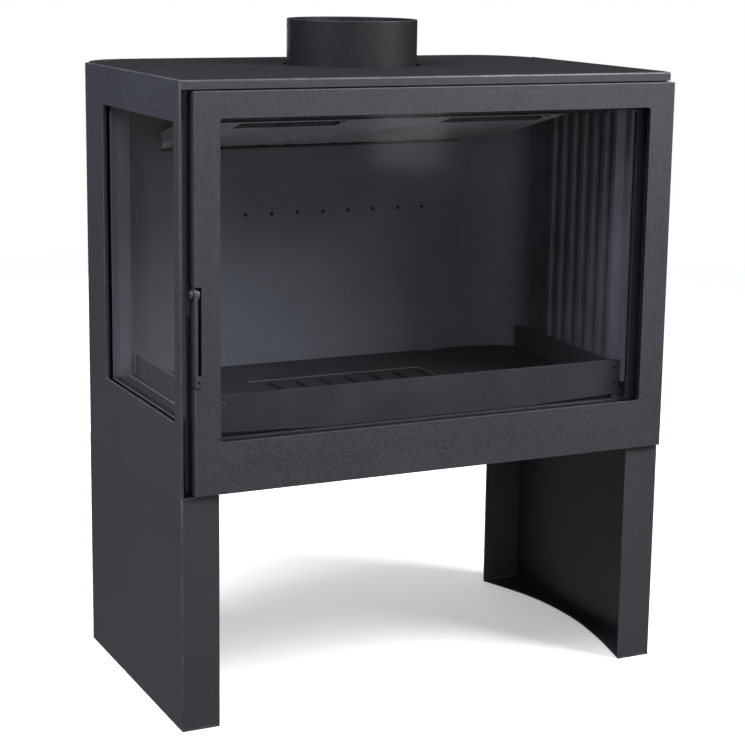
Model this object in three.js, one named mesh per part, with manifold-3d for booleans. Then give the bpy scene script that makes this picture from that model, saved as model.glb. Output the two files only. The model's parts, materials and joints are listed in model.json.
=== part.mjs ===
// Wood burning stove on two folded steel legs, with a wide glass door, a glass
// window in its left side and a round flue collar on top.
//
// Millimetres. +Z is up, the door faces -Y, and +X is to the right of someone
// who stands in front of the door. The parts are laid out from a datum that is
// LEG_DROP above the floor and ahead of the middle of the depth, and the group
// moves them so that the floor is z = 0 and the middle of the depth is y = 0.

import * as THREE from 'three';
import { mergeVertices } from 'three/addons/utils/BufferGeometryUtils.js';
import Module from 'manifold-3d';

const wasm = await Module();
wasm.setup();

// ---------------------------------------------------------------- dimensions

const GAP = 0.3;                 // clearance between touching pieces

const HALF_WIDTH = 400;          // outer faces of the side panels
const FRONT_Y = -207;            // front edges of the side panel and the legs
const SIDE_REAR_Y = 219;         // rear edges of the side panels
const BODY_REAR_Y = 306;         // outermost point of the rounded rear cover
const DEPTH_CENTRE = 43.5;       // middle of the overall depth
const LEG_DROP = 20;             // the floor is this far below the datum
const LEG_TOP_Z = 329.7;
const BODY_BOTTOM_Z = 330.3;
const BODY_TOP_Z = 918;

const SHEET = 3;                 // folded legs and firebox casing
const SIDE_SHEET = 4;            // side panels and top plate

const LEG_FRONT_FLANGE = 58;
const LEG_REAR_FLANGE = 70;
const LEG_REAR_Y = 222;
const LEG_BOLT_X = 370;
const LEG_BOLT_Y = [-150, 150];

const WINDOW_Y = [-183, 134];    // opening in the left side panel
const WINDOW_Z = [435, 860];

const TOP_STRIP_BOTTOM_Z = 904.8;
const REAR_CORNER = { x: 310, y: BODY_REAR_Y - 114, a: 85.7, b: 114 };

const FLUE = { y: 100, bore: 100, wall: 3, flange: 117, seat: 899.6, top: 988 };
const TOP_HOLE_RADIUS = 108.5;

const CASING_LEFT_X = -360;
const CASING_RIGHT_X = 355;
const CASING_FRONT_Y = -182.7;
const CASING_REAR_Y = 173.3;
const CASING_TOP_Z = 899.3;
const LANDING_Y = [-186.7, -183];          // front frame that the door closes on
const THROAT_X = [-352, 352];
const THROAT_Z = [407, 860];

const HEARTH_Z = 432;            // top of the hearth floor
const HEARTH_FRONT_Y = -172.4;
const LINER_TOP_Z = 895.7;
const REAR_LINER_Y = [156, 160];
const SEAM_X = 225;              // joint of the flat and the curved rear liner
const RIGHT_LINER_X = 341;

const GRATE_X = [-200, 98];
const GRATE_Y = [-106, 39];
const GRATE_SLOTS = { count: 7, first: -172, pitch: 42.7, half: 4.5, y: [-92, 24] };
const WELL_X = [-188, 90];
const WELL_Y = [-96, 29];
const WELL_Z = [345, 425.7];

const DOOR_X = [-381, 399];
const DOOR_Y = [-215, -190];
const DOOR_Z = [332.5, 903];
const DOOR_PLATE = 5;
const DOOR_FLANGE = 3;
const DOOR_OPENING_X = [-343, 356.5];
const DOOR_OPENING_Z = [408, 865.5];
const HINGE = { x: 391, y: -199, radius: 3.5 };
const POCKET_X = -371;
const POCKET_Z = [489, 633];
const PIVOT = { y: -205, z: 622, radius: 3 };
const LEVER_X = [-381, -376.3];
const HOOK_X = [-376, -373];

const ROUND = 64;                // segments of a large circle
const SMALL_ROUND = 24;          // segments of a bolt or a hole

// ----------------------------------------------------------------- materials

const FINISH = {
  paint: { color: '#3e4044', roughness: 0.62, metalness: 0.25 },
  legPaint: { color: '#37393d', roughness: 0.62, metalness: 0.25 },
  casing: { color: '#2c2d31', roughness: 0.7, metalness: 0.3 },
  liner: { color: '#4a4a50', roughness: 0.75, metalness: 0.2 },
  castIron: { color: '#26262a', roughness: 0.8, metalness: 0.3 },
  vermiculite: { color: '#6d655d', roughness: 0.95, metalness: 0 },
  glass: { color: '#b9c2c4', roughness: 0.05, metalness: 0 },
  rope: { color: '#55534e', roughness: 0.95, metalness: 0 },
  steel: { color: '#6c6e72', roughness: 0.4, metalness: 0.8 },
};

// ------------------------------------------------------------ shape helpers

function rectangle([u0, u1], [v0, v1]) {
  return [[u0, v0], [u1, v0], [u1, v1], [u0, v1]];
}

function circle(u, v, radius, segments = SMALL_ROUND) {
  const points = [];
  for (let i = 0; i < segments; i += 1) {
    const angle = (2 * Math.PI * i) / segments;
    points.push([u + radius * Math.cos(angle), v + radius * Math.sin(angle)]);
  }
  return points;
}

function arcPoints(u, v, a, b, from, to, steps) {
  const points = [];
  for (let i = 0; i <= steps; i += 1) {
    const angle = from + ((to - from) * i) / steps;
    points.push([u + a * Math.cos(angle), v + b * Math.sin(angle)]);
  }
  return points;
}

function roundedRectangle([u0, u1], [v0, v1], radius) {
  const quarter = Math.PI / 2;
  return [
    ...arcPoints(u1 - radius, v1 - radius, radius, radius, 0, quarter, 5),
    ...arcPoints(u0 + radius, v1 - radius, radius, radius, quarter, 2 * quarter, 5),
    ...arcPoints(u0 + radius, v0 + radius, radius, radius, 2 * quarter, 3 * quarter, 5),
    ...arcPoints(u1 - radius, v0 + radius, radius, radius, 3 * quarter, 4 * quarter, 5),
  ];
}

function slab(points, z0, z1) {
  const shape = new THREE.Shape(points.map(([u, v]) => new THREE.Vector2(u, v)));
  const geometry = new THREE.ExtrudeGeometry(shape, { depth: z1 - z0, bevelEnabled: false });
  return geometry.translate(0, 0, z0);
}

// An outline extruded from 0 to the length, with each hole cut right through.
function extrude(points, length, holes) {
  const body = slab(points, 0, length);
  const cutters = holes.map((hole) => slab(hole, -1, length + 1));
  return cutters.length > 0 ? cut(body, ...cutters) : body;
}

// The outline lies in the plan (x, y) and is extruded upwards.
function prismZ(points, [z0, z1], holes = []) {
  return extrude(points, z1 - z0, holes).translate(0, 0, z0);
}

// The outline lies in the front view (x, z) and is extruded along y.
function prismY(points, [y0, y1], holes = []) {
  return extrude(points, y1 - y0, holes).rotateX(Math.PI / 2).translate(0, y1, 0);
}

// The outline lies in the side view (y, z) and is extruded along x.
function prismX(points, [x0, x1], holes = []) {
  const turn = new THREE.Matrix4().makeBasis(
    new THREE.Vector3(0, 1, 0),
    new THREE.Vector3(0, 0, 1),
    new THREE.Vector3(1, 0, 0),
  );
  return extrude(points, x1 - x0, holes).applyMatrix4(turn).translate(x0, 0, 0);
}

function block([x0, x1], [y0, y1], [z0, z1]) {
  const geometry = new THREE.BoxGeometry(x1 - x0, y1 - y0, z1 - z0);
  return geometry.translate((x0 + x1) / 2, (y0 + y1) / 2, (z0 + z1) / 2);
}

function rodZ(x, y, radius, [z0, z1], segments = SMALL_ROUND) {
  const geometry = new THREE.CylinderGeometry(radius, radius, z1 - z0, segments);
  return geometry.rotateX(Math.PI / 2).translate(x, y, (z0 + z1) / 2);
}

function rodX(y, z, radius, [x0, x1], segments = SMALL_ROUND) {
  const geometry = new THREE.CylinderGeometry(radius, radius, x1 - x0, segments);
  return geometry.rotateZ(Math.PI / 2).translate((x0 + x1) / 2, y, z);
}

function rodY(x, z, radius, [y0, y1], segments = SMALL_ROUND) {
  const geometry = new THREE.CylinderGeometry(radius, radius, y1 - y0, segments);
  return geometry.translate(x, (y0 + y1) / 2, z);
}

function toSolid(geometry) {
  const bare = geometry.clone();
  bare.deleteAttribute('normal');
  bare.deleteAttribute('uv');
  const merged = mergeVertices(bare, 1e-4);
  return new wasm.Manifold(new wasm.Mesh({
    numProp: 3,
    vertProperties: new Float32Array(merged.attributes.position.array),
    triVerts: new Uint32Array(merged.index.array),
  }));
}

function toGeometry(solid) {
  const mesh = solid.getMesh();
  const geometry = new THREE.BufferGeometry();
  geometry.setAttribute('position', new THREE.BufferAttribute(new Float32Array(mesh.vertProperties), 3));
  geometry.setIndex(new THREE.BufferAttribute(new Uint32Array(mesh.triVerts), 1));
  geometry.computeVertexNormals();
  return geometry;
}

function join(...pieces) {
  return toGeometry(pieces.map(toSolid).reduce((sum, solid) => sum.add(solid)));
}

function cut(body, ...tools) {
  return toGeometry(tools.map(toSolid).reduce((rest, tool) => rest.subtract(tool), toSolid(body)));
}

function common(first, second) {
  return toGeometry(toSolid(first).intersect(toSolid(second)));
}

// ------------------------------------------------------------------ assembly

const stove = new THREE.Group();
stove.name = 'wood_burning_stove';
stove.position.set(0, -DEPTH_CENTRE, LEG_DROP);

function addPart(name, geometry, finish) {
  const mesh = new THREE.Mesh(geometry, new THREE.MeshStandardMaterial(FINISH[finish]));
  mesh.name = name;
  stove.add(mesh);
}

function mirrored(points, side) {
  return points.map(([x, y]) => [x * side, y]);
}

// ---------------------------------------------------------------------- legs

// Each leg is a folded C section, closed below by a foot plate whose inner edge
// is a hollow curve and above by the plate that bolts to the body.
function addLeg(label, side) {
  const inner = HALF_WIDTH - SHEET;
  const section = [
    [HALF_WIDTH, FRONT_Y],
    [HALF_WIDTH, LEG_REAR_Y],
    [HALF_WIDTH - LEG_REAR_FLANGE, LEG_REAR_Y],
    [HALF_WIDTH - LEG_REAR_FLANGE, LEG_REAR_Y - SHEET],
    [inner, LEG_REAR_Y - SHEET],
    [inner, FRONT_Y + SHEET],
    [HALF_WIDTH - LEG_FRONT_FLANGE, FRONT_Y + SHEET],
    [HALF_WIDTH - LEG_FRONT_FLANGE, FRONT_Y],
  ];
  const shellZ = [SHEET + GAP - LEG_DROP, LEG_TOP_Z];
  addPart(`leg_${label}_shell`, prismZ(mirrored(section, side), shellZ), 'legPaint');

  const innerEdge = new THREE.SplineCurve([
    [HALF_WIDTH - LEG_REAR_FLANGE, LEG_REAR_Y],
    [366, 108],
    [375.5, -4],
    [364, -108],
    [HALF_WIDTH - LEG_FRONT_FLANGE, FRONT_Y],
  ].map(([x, y]) => new THREE.Vector2(x, y))).getPoints(28).map((point) => [point.x, point.y]);
  const foot = [[HALF_WIDTH, FRONT_Y], [HALF_WIDTH, LEG_REAR_Y], ...innerEdge];
  const footZ = [-LEG_DROP, SHEET - LEG_DROP];
  addPart(`leg_${label}_foot_plate`, prismZ(mirrored(foot, side), footZ), 'legPaint');

  const plate = rectangle(
    [HALF_WIDTH - LEG_FRONT_FLANGE, inner - GAP],
    [FRONT_Y + SHEET + GAP, LEG_REAR_Y - SHEET - GAP],
  );
  const holes = LEG_BOLT_Y.map((y) => mirrored(circle(LEG_BOLT_X, y, 4.4), side));
  addPart(
    `leg_${label}_top_plate`,
    prismZ(mirrored(plate, side), [LEG_TOP_Z - SHEET, LEG_TOP_Z], holes),
    'legPaint',
  );

  LEG_BOLT_Y.forEach((y, index) => {
    const headTop = LEG_TOP_Z - SHEET - GAP;
    const bolt = join(
      rodZ(side * LEG_BOLT_X, y, 7.5, [headTop - 5.3, headTop], 6),
      rodZ(side * LEG_BOLT_X, y, 4, [headTop - 1, BODY_BOTTOM_Z + 9]),
    );
    addPart(`leg_${label}_bolt_${index === 0 ? 'front' : 'rear'}`, bolt, 'steel');
  });
}

addLeg('left', -1);
addLeg('right', 1);

// ---------------------------------------------------------------- outer body

// Rounded rear corner from the right side to the rear, shrunk inwards by inset.
function rearCorner(inset, steps = 14) {
  const { x, y, a, b } = REAR_CORNER;
  return arcPoints(x, y, a - inset, b - inset, 0, Math.PI / 2, steps);
}

function withMirror(rightHalf) {
  const leftHalf = rightHalf.map(([x, y]) => [-x, y]).reverse();
  return [...rightHalf, ...leftHalf];
}

const AIR_SLOT = { pitch: 80, half: 18, y: [-155, -145] };

function airSlots() {
  return [-1, 0, 1].map((i) => rectangle(
    [i * AIR_SLOT.pitch - AIR_SLOT.half, i * AIR_SLOT.pitch + AIR_SLOT.half],
    AIR_SLOT.y,
  ));
}

const panelInnerX = HALF_WIDTH - SIDE_SHEET - GAP;
const basePlate = withMirror([[panelInnerX, CASING_FRONT_Y - 4], ...rearCorner(2 + GAP)]);
const convectionSlots = [-210, -70, 70, 210].map((x) => rectangle([x - 45, x + 45], [232, 250]));
const baseHoles = [
  ...airSlots(),
  ...convectionSlots,
  ...[-1, 1].flatMap((side) => LEG_BOLT_Y.map((y) => circle(side * LEG_BOLT_X, y, 4.4))),
];
addPart('base_plate', prismZ(basePlate, [BODY_BOTTOM_Z, BODY_BOTTOM_Z + SHEET], baseHoles), 'casing');

addPart('side_panel_left', prismX(
  rectangle([FRONT_Y, SIDE_REAR_Y], [BODY_BOTTOM_Z, BODY_TOP_Z]),
  [-HALF_WIDTH, -HALF_WIDTH + SIDE_SHEET],
  [roundedRectangle(WINDOW_Y, WINDOW_Z, 2)],
), 'paint');

addPart('side_panel_right', prismX(
  rectangle([LANDING_Y[0], SIDE_REAR_Y], [BODY_BOTTOM_Z, BODY_TOP_Z]),
  [HALF_WIDTH - SIDE_SHEET, HALF_WIDTH],
), 'paint');

// The top plate's own rear corners are cut back, which leaves a crescent at each
// one for the warm convection air to leave by.
const topOutline = withMirror([
  [panelInnerX, FRONT_Y],
  [panelInnerX, 186],
  [387, 205],
  [370, 232],
  [345, 262],
  [321, 287],
  [300, 299],
  [278, 302.8],
]);
addPart('top_plate', join(
  prismZ(topOutline, [BODY_TOP_Z - SIDE_SHEET, BODY_TOP_Z], [circle(0, FLUE.y, TOP_HOLE_RADIUS, ROUND)]),
  block([-panelInnerX, panelInnerX], [FRONT_Y, FRONT_Y + SIDE_SHEET], [TOP_STRIP_BOTTOM_Z, BODY_TOP_Z]),
), 'paint');

const shroudOuter = withMirror(rearCorner(0));
const shroudInner = withMirror(rearCorner(2)).reverse();
addPart('rear_cover', prismZ(
  [...shroudOuter, ...shroudInner],
  [BODY_BOTTOM_Z, BODY_TOP_Z - GAP],
), 'paint');

// --------------------------------------------------------------- flue collar

const collarProfile = [
  [FLUE.bore, FLUE.seat],
  [FLUE.flange, FLUE.seat],
  [FLUE.flange, FLUE.seat + 4],
  [FLUE.bore + FLUE.wall, FLUE.seat + 4],
  [FLUE.bore + FLUE.wall, FLUE.top],
  [FLUE.bore, FLUE.top],
  [FLUE.bore, FLUE.seat],
].map(([radius, z]) => new THREE.Vector2(radius, z));
const collar = new THREE.LatheGeometry(collarProfile, 72);
addPart('flue_collar', collar.rotateX(Math.PI / 2).translate(0, FLUE.y, 0), 'paint');

// ------------------------------------------------------------ firebox casing

const latchSlot = rectangle([-383, -372.2], [588, 626]);
addPart('firebox_front_frame', prismY(
  rectangle([-387, panelInnerX], [BODY_BOTTOM_Z + SHEET + GAP, BODY_TOP_Z - SIDE_SHEET - GAP]),
  LANDING_Y,
  [roundedRectangle(THROAT_X, THROAT_Z, 8), latchSlot],
), 'paint');

const casingFloorZ = BODY_BOTTOM_Z + SHEET + GAP;
const casingWallTop = CASING_TOP_Z - SHEET - GAP;
const casingSide = rectangle([CASING_FRONT_Y, CASING_REAR_Y - SHEET - GAP], [casingFloorZ, casingWallTop]);
const revealY = [-172, WINDOW_Y[1]];

addPart('firebox_left_wall', prismX(
  casingSide,
  [CASING_LEFT_X, CASING_LEFT_X + SHEET],
  [rectangle(revealY, WINDOW_Z)],
), 'liner');
addPart('firebox_right_wall', prismX(
  casingSide,
  [CASING_RIGHT_X - SHEET, CASING_RIGHT_X],
), 'casing');
addPart('firebox_rear_wall', block(
  [CASING_LEFT_X, CASING_RIGHT_X],
  [CASING_REAR_Y - SHEET, CASING_REAR_Y],
  [casingFloorZ, casingWallTop],
), 'casing');
addPart('firebox_top_wall', prismZ(
  rectangle([CASING_LEFT_X, CASING_RIGHT_X], [CASING_FRONT_Y, CASING_REAR_Y]),
  [CASING_TOP_Z - SHEET, CASING_TOP_Z],
  [circle(0, FLUE.y, FLUE.bore, ROUND)],
), 'casing');

// --------------------------------------------------------------- side window

const revealOuterY = [revealY[0] - SHEET, revealY[1] + SHEET];
const revealOuterZ = [WINDOW_Z[0] - SHEET, WINDOW_Z[1] + SHEET];
addPart('side_window_reveal', prismX(
  rectangle(revealOuterY, revealOuterZ),
  [-387.7, CASING_LEFT_X - GAP],
  [rectangle(revealY, WINDOW_Z)],
), 'liner');
addPart('side_window_glass', block([-392, -388], [-197, 146], [421, 874]), 'glass');
addPart('side_window_gasket', prismX(
  rectangle([-197, 146], [421, 874]),
  [-HALF_WIDTH + SIDE_SHEET + GAP, -392.3],
  [rectangle([-187, 138], [431, 864])],
), 'rope');

// -------------------------------------------------------------- fire chamber

addPart('hearth_floor', prismZ(
  rectangle([CASING_LEFT_X + SHEET + GAP, CASING_RIGHT_X - SHEET - GAP], [HEARTH_FRONT_Y, 170]),
  [HEARTH_Z - 6, HEARTH_Z],
  [rectangle(GRATE_X, GRATE_Y)],
), 'castIron');

// Angle that closes the step between the door landing and the hearth floor.
addPart('hearth_front_angle', prismX([
  [CASING_FRONT_Y, 404],
  [-165, 404],
  [-165, HEARTH_Z - 6 - GAP],
  [-168, HEARTH_Z - 6 - GAP],
  [-168, 406.7],
  [CASING_FRONT_Y, 406.7],
], [CASING_LEFT_X + SHEET + GAP, CASING_RIGHT_X - SHEET - GAP]), 'paint');

const airHoles = [];
for (let i = 0; i < 8; i += 1) {
  airHoles.push(circle((i - 3.5) * 45, 677, 3.2, 16));
}
addPart('rear_liner', prismY(
  rectangle([CASING_LEFT_X + SHEET + GAP, SEAM_X - GAP], [HEARTH_Z + GAP, LINER_TOP_Z]),
  REAR_LINER_Y,
  airHoles,
), 'liner');

const cornerCentre = [SEAM_X + GAP, 104];
const cornerReach = [RIGHT_LINER_X - cornerCentre[0], REAR_LINER_Y[0] - cornerCentre[1]];
const cornerInner = arcPoints(...cornerCentre, ...cornerReach, 0, Math.PI / 2, 16);
const cornerOuter = arcPoints(...cornerCentre, cornerReach[0] + 4, cornerReach[1] + 4, 0, Math.PI / 2, 16);
addPart('corner_liner', prismZ(
  [...cornerOuter, ...cornerInner.reverse()],
  [HEARTH_Z + GAP, LINER_TOP_Z],
), 'liner');

// Cast side liner: a flat strip at the rear and then seven upright ribs.
const RIB = { count: 7, first: 38, pitch: 31, base: 19, crest: 11, height: 14 };
const ribFootX = 344;
const linerBackX = 350;
const ribbedSection = [[linerBackX, 101], [RIGHT_LINER_X, 101], [RIGHT_LINER_X, 40], [ribFootX, 40]];
for (let i = 0; i < RIB.count; i += 1) {
  const rear = RIB.first - i * RIB.pitch;
  const slope = (RIB.base - RIB.crest) / 2;
  ribbedSection.push([ribFootX, rear]);
  ribbedSection.push([ribFootX - RIB.height, rear - slope]);
  ribbedSection.push([ribFootX - RIB.height, rear - slope - RIB.crest]);
  ribbedSection.push([ribFootX, rear - RIB.base]);
}
ribbedSection.push([ribFootX, CASING_FRONT_Y + GAP], [linerBackX, CASING_FRONT_Y + GAP]);
addPart('ribbed_side_liner', prismZ(ribbedSection, [HEARTH_Z + GAP, LINER_TOP_Z]), 'castIron');

addPart('rear_liner_clip', prismX([
  [155.7, HEARTH_Z + GAP],
  [155.7, 447],
  [152.7, 447],
  [152.7, 436],
  [147, 436],
  [147, HEARTH_Z + GAP],
], [155, 182]), 'liner');

addPart('hearth_board_left', block([-345, -340], [HEARTH_FRONT_Y, 150], [HEARTH_Z + GAP, 466]), 'castIron');
addPart('hearth_board_right', block([323, 328], [HEARTH_FRONT_Y, 118], [HEARTH_Z + GAP, 471]), 'castIron');

// The log guard lifts out. Its lower edge drops towards the middle.
addPart('log_guard', prismY([
  [-341, 413.5],
  [-172, 407.6],
  [172, 407.6],
  [341, 413.5],
  [341, 467.5],
  [-341, 467.5],
], [-178, HEARTH_FRONT_Y - GAP], [
  circle(-325, 453, 2.6, 16),
  circle(333, 456, 2.6, 16),
  circle(333, 431, 2.6, 16),
]), 'castIron');
for (const [label, side] of [['left', -1], ['right', 1]]) {
  addPart(`log_guard_lug_${label}`, prismX([
    [CASING_FRONT_Y + 0.1, 407],
    [-178.3, 407],
    [-178.3, 421],
    [-180.3, 421],
    [-180.3, 410],
    [CASING_FRONT_Y + 0.1, 410],
  ], side < 0 ? [-345, -328] : [328, 345]), 'paint');
}

// ------------------------------------------------------- grate and ash parts

const grateHoles = [];
for (let i = 0; i < GRATE_SLOTS.count; i += 1) {
  const x = GRATE_SLOTS.first + i * GRATE_SLOTS.pitch;
  grateHoles.push(roundedRectangle(
    [x - GRATE_SLOTS.half, x + GRATE_SLOTS.half],
    GRATE_SLOTS.y,
    GRATE_SLOTS.half - 0.1,
  ));
}
addPart('grate', prismZ(
  rectangle([GRATE_X[0] + 1, GRATE_X[1] - 1], [GRATE_Y[0] + 1, GRATE_Y[1] - 1]),
  [WELL_Z[1] + GAP, HEARTH_Z - 0.6],
  grateHoles,
), 'castIron');

// Well under the grate: a flanged box that carries the grate and holds the pan.
const wellOuterX = [WELL_X[0] - SHEET, WELL_X[1] + SHEET];
const wellOuterY = [WELL_Y[0] - SHEET, WELL_Y[1] + SHEET];
const wellFlange = prismZ(
  rectangle([GRATE_X[0] - 8, GRATE_X[1] + 8], [GRATE_Y[0] - 8, GRATE_Y[1] + 8]),
  [WELL_Z[1] - SHEET, WELL_Z[1]],
  [rectangle(WELL_X, WELL_Y)],
);
const wellSides = prismZ(rectangle(wellOuterX, wellOuterY), WELL_Z, [
  rectangle(WELL_X, WELL_Y),
]);
const wellBottom = block(wellOuterX, wellOuterY, [WELL_Z[0], WELL_Z[0] + SHEET]);
const wellFront = [wellOuterY[0] - 1, WELL_Y[0] + 1];
const wellAirHoles = [-150, -100, -50, 0, 50].map((x) => rodY(x, 416, 4, wellFront));
addPart('ash_well', cut(join(wellFlange, wellSides, wellBottom), ...wellAirHoles), 'casing');

const PAN_X = [WELL_X[0] + 4, WELL_X[1] - 4];
const PAN_Y = [WELL_Y[0] + 4, WELL_Y[1] - 4];
const PAN_Z = [WELL_Z[0] + SHEET + GAP, 410];
const PAN_SHEET = 1.5;
const panHollow = block(
  [PAN_X[0] + PAN_SHEET, PAN_X[1] - PAN_SHEET],
  [PAN_Y[0] + PAN_SHEET, PAN_Y[1] - PAN_SHEET],
  [PAN_Z[0] + PAN_SHEET, PAN_Z[1] + 1],
);
const panStrap = block([-57, -41], [PAN_Y[0] + 0.5, PAN_Y[1] - 0.5], [PAN_Z[1] - 3, PAN_Z[1] - 0.5]);
addPart('ash_pan', join(cut(block(PAN_X, PAN_Y, PAN_Z), panHollow), panStrap), 'casing');

// -------------------------------------------------------------------- baffle

// The board rises towards the door, so smoke travels forward under it and up
// round its two ends to the flue.
const BAFFLE = { x: [-300, 285], y: [-130, 152.5], rearZ: 787.4, rise: 0.25, thick: 26 };

function baffleZ(y) {
  return BAFFLE.rearZ + (BAFFLE.y[1] - y) * BAFFLE.rise;
}

const baffleSide = prismX([
  [BAFFLE.y[1], baffleZ(BAFFLE.y[1])],
  [BAFFLE.y[1], baffleZ(BAFFLE.y[1]) + BAFFLE.thick],
  [BAFFLE.y[0], baffleZ(BAFFLE.y[0]) + BAFFLE.thick],
  [BAFFLE.y[0], baffleZ(BAFFLE.y[0])],
], BAFFLE.x);
const bafflePlan = prismZ([
  [BAFFLE.x[0], BAFFLE.y[0]],
  [BAFFLE.x[1], BAFFLE.y[0]],
  [BAFFLE.x[1], 136],
  [235, BAFFLE.y[1]],
  [BAFFLE.x[0], BAFFLE.y[1]],
], [780, 900]);
const baffleSlots = [[-256, -88], [86, 262]].map((x) => block(x, [-62, -50], [770, 910]));
addPart('baffle_board', cut(common(baffleSide, bafflePlan), ...baffleSlots), 'vermiculite');

addPart('baffle_rear_ledge', prismX([
  [155.7, 783.6],
  [155.7, 796],
  [153.4, 796],
  [153.4, 786.6],
  [146.5, 786.6],
  [146.5, 783.6],
], [-300, 224]), 'casing');
addPart('baffle_front_rail', prismX([
  [-142, 852.5],
  [-124, 852.5],
  [-124, 855.5],
  [-139, 855.5],
  [-139, LINER_TOP_Z],
  [-142, LINER_TOP_Z],
], [-330, 326]), 'casing');
addPart('airwash_deflector', prismX([
  [CASING_FRONT_Y, 862],
  [-164, 862],
  [-164, 864],
  [CASING_FRONT_Y + 2, 864],
  [CASING_FRONT_Y + 2, LINER_TOP_Z],
  [CASING_FRONT_Y, LINER_TOP_Z],
], [-350, 326]), 'casing');

// --------------------------------------------------------------- air control

const SLIDER_Z = [BODY_BOTTOM_Z - GAP - SHEET, BODY_BOTTOM_Z - GAP];
const slider = prismZ(rectangle([-125, 125], [-172, -128]), SLIDER_Z, airSlots());
const sliderTab = block([-24, 24], [-142, -139], [SLIDER_Z[0] - 7, SLIDER_Z[1] - 0.5]);
addPart('air_slider', join(slider, sliderTab), 'steel');

function keeperSection(edge, outward) {
  const wall = edge + outward * GAP;
  const lip = edge - outward * 6;
  const under = SLIDER_Z[0] - GAP;
  return [
    [lip, under],
    [wall, under],
    [wall, SLIDER_Z[1]],
    [wall + outward * 5, SLIDER_Z[1]],
    [wall + outward * 5, under - 2],
    [lip, under - 2],
  ];
}
addPart('air_slider_keeper_rear', prismX(keeperSection(-128, 1), [-140, 180]), 'casing');
addPart('air_slider_keeper_front_left', prismX(keeperSection(-172, -1), [-140, -60]), 'casing');
addPart('air_slider_keeper_front_right', prismX(keeperSection(-172, -1), [90, 180]), 'casing');

// ---------------------------------------------------------------------- door

const doorPlate = prismY(
  rectangle(DOOR_X, DOOR_Z),
  [DOOR_Y[0], DOOR_Y[0] + DOOR_PLATE],
  [roundedRectangle(DOOR_OPENING_X, DOOR_OPENING_Z, 5)],
);
const doorEdge = prismY(
  rectangle(DOOR_X, DOOR_Z),
  [DOOR_Y[0] + 1, DOOR_Y[1]],
  [rectangle(
    [DOOR_X[0] + DOOR_FLANGE, DOOR_X[1] - DOOR_FLANGE],
    [DOOR_Z[0] + DOOR_FLANGE, DOOR_Z[1] - DOOR_FLANGE],
  )],
);
const pocketWalls = block([DOOR_X[0], POCKET_X + 3], DOOR_Y, [POCKET_Z[0] - 3, POCKET_Z[1] + 3]);
const pocketHollow = block([DOOR_X[0] - 1, POCKET_X], [DOOR_Y[0] - 1, DOOR_Y[1] + 1], POCKET_Z);
addPart('door_frame', cut(
  join(doorPlate, doorEdge, pocketWalls),
  pocketHollow,
  rodX(PIVOT.y, PIVOT.z, PIVOT.radius + 0.15, [POCKET_X - 1, POCKET_X + 4]),
  rodZ(HINGE.x, HINGE.y, HINGE.radius + 0.15, [DOOR_Z[0] - 1, DOOR_Z[1] + 1]),
), 'paint');

function ringY(outerX, outerZ, innerX, innerZ, y) {
  return prismY(rectangle(outerX, outerZ), y, [rectangle(innerX, innerZ)]);
}

addPart('door_glass', block([-353, 366.5], [-206.4, -202.4], [398.5, 875]), 'glass');
addPart('door_glass_gasket', ringY(
  [-352, 365.5],
  [399.5, 874],
  [-345, 358.5],
  [406, 867.5],
  [-209.7, -206.7],
), 'rope');
const retainer = ringY([-367, 380.5], [384, 889.5], [-347, 360.5], [404, 869.5], [-202.1, -199.1]);
const retainerScrews = [];
for (const z of [450, 637, 824]) {
  retainerScrews.push(rodY(-351, z, 3, [-200, -197.2], 16));
  retainerScrews.push(rodY(364.5, z, 3, [-200, -197.2], 16));
}
addPart('door_glass_retainer', join(retainer, ...retainerScrews), 'casing');
addPart('door_rope_seal', prismY(
  roundedRectangle([-366, 379.5], [385, 888.5], 12),
  [-198.8, LANDING_Y[0] - GAP],
  [roundedRectangle([-356, 369.5], [395, 878.5], 6)],
), 'rope');

for (const [label, z] of [['top', [884, 899.7]], ['bottom', [335.8, 351]]]) {
  addPart(`door_hinge_block_${label}`, prismZ(
    rectangle([382, 395.7], [-209.7, -190.3]),
    z,
    [circle(HINGE.x, HINGE.y, HINGE.radius + 0.15)],
  ), 'steel');
}
addPart('hinge_pin_top', join(
  block([381, 395.4], [-202.7, LANDING_Y[0] - GAP], [TOP_STRIP_BOTTOM_Z, BODY_TOP_Z - SIDE_SHEET - GAP]),
  rodZ(HINGE.x, HINGE.y, HINGE.radius, [888, 906]),
), 'steel');
addPart('hinge_pin_bottom', join(
  rodZ(HINGE.x, HINGE.y, 8.5, [LEG_TOP_Z + GAP, 332.2]),
  rodZ(HINGE.x, HINGE.y, HINGE.radius, [LEG_TOP_Z + GAP, 348]),
), 'steel');

// -------------------------------------------------------------------- handle

// A flat lever lies in the door's edge and turns about a cross pin at its top.
const leverSide = [
  ...arcPoints(PIVOT.y, PIVOT.z, 10, 10, 0, Math.PI, 12),
  [PIVOT.y - 10, 491],
  [PIVOT.y + 10, 491],
];
addPart('handle_lever', join(
  prismX(leverSide, LEVER_X, [circle(PIVOT.y, PIVOT.z, PIVOT.radius + 0.15)]),
  block([LEVER_X[0], POCKET_X - 0.6], [DOOR_Y[0] - 4, DOOR_Y[0] + 4], [491, 507]),
), 'paint');

// The hook's nose stands up behind the top edge of the slot in the front frame.
addPart('latch_hook', prismX([
  ...arcPoints(PIVOT.y, PIVOT.z, 9, 9, Math.PI / 2, (3 * Math.PI) / 2, 12),
  [-190, 615],
  [-177.5, 616],
  [-177.5, 632],
  [-182, 632],
  [-182, 624.5],
  [-192, 624.5],
], HOOK_X, [circle(PIVOT.y, PIVOT.z, PIVOT.radius + 0.15)]), 'steel');
addPart('handle_pivot_pin', join(
  rodX(PIVOT.y, PIVOT.z, 6, [-385, LEVER_X[0] - GAP], 32),
  rodX(PIVOT.y, PIVOT.z, PIVOT.radius, [-383, POCKET_X + 3.4]),
), 'steel');

export default stove;
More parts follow.
